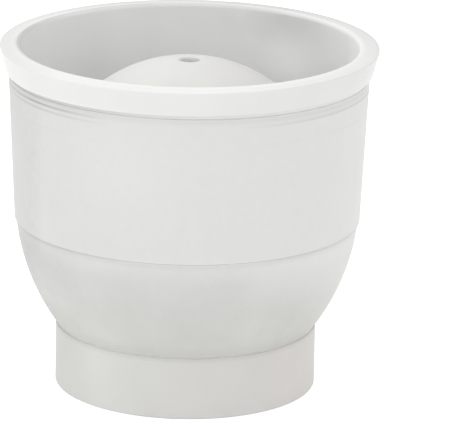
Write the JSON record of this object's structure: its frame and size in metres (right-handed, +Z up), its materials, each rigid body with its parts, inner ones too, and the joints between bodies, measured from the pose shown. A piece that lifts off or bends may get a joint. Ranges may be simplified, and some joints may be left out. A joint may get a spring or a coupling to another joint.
{
  "type": "ice ball mould",
  "caption": "Double-walled round cup on a foot ring that holds a two-part ball mould: a lower half hung in the inner cup and a domed upper half with a fill hole, sealed at the ball's equator.",
  "frame": {"origin": "centre of the foot ring's base, on the surface that the cup stands on", "axes": "+Z up along the axis of the cup and of the ball, +X to the right and -Y towards the viewer"},
  "size_m": [0.0903, 0.0904, 0.0836],
  "materials": {
    "frosted_polypropylene": "frosted, slightly translucent",
    "foot_elastomer": "soft satin",
    "white_polypropylene": "smooth satin",
    "white_silicone": "soft matt",
    "grey_silicone": "soft matt, slightly translucent"
  },
  "bodies": {
    "cup": {"outer_cup": "frosted_polypropylene", "foot_ring": "foot_elastomer"},
    "liner": {"inner_cup": "white_polypropylene", "rim_gasket": "grey_silicone"},
    "lower_half": {"lower_mould": "white_silicone", "mould_seal": "grey_silicone"},
    "upper_half": {"upper_mould": "white_silicone"}
  },
  "joints": [
    {"name": "inner_cup_lift", "type": "slide", "parent": "cup", "child": "liner", "axis": [0, 0, 1], "range_m": [0, 0.075]},
    {"name": "lower_mould_lift", "type": "slide", "parent": "liner", "child": "lower_half", "axis": [0, 0, 1], "range_m": [0, 0.08]},
    {"name": "upper_mould_lift", "type": "slide", "parent": "lower_half", "child": "upper_half", "axis": [0, 0, 1], "range_m": [0, 0.045]}
  ]
}
